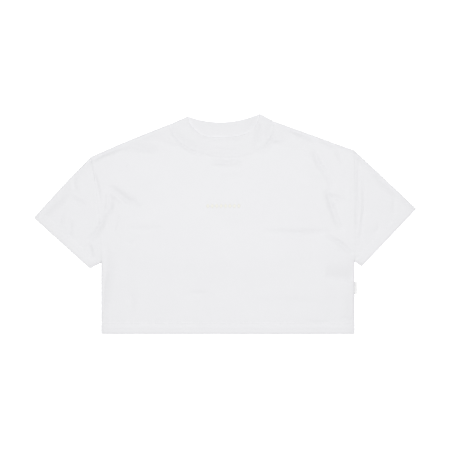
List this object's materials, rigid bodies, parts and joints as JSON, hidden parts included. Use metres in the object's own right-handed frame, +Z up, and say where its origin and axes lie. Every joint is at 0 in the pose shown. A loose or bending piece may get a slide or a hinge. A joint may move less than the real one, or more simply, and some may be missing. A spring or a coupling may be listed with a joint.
{
  "type": "short-sleeved t-shirt",
  "caption": "Cropped boxy short-sleeved T-shirt in heavy white jersey, laid flat, with a wide rib neckband, dropped armholes and a side label.",
  "frame": {"origin": "middle of the whole outline, on the surface the shirt lies on", "axes": "+X across the body to the right as the front is seen, +Y from the hem to the neck, +Z up out of the front"},
  "size_m": [0.8138, 0.4706, 0.0056],
  "materials": {
    "white_jersey": "matt cotton jersey",
    "white_rib": "matt cotton rib",
    "label_tape": "plain woven tape"
  },
  "bodies": {
    "root": {"front_panel": "white_jersey", "back_panel": "white_jersey", "sleeve_left": "white_jersey", "sleeve_right": "white_jersey", "collar_band": "white_rib", "side_label": "label_tape"}
  },
  "joints": []
}
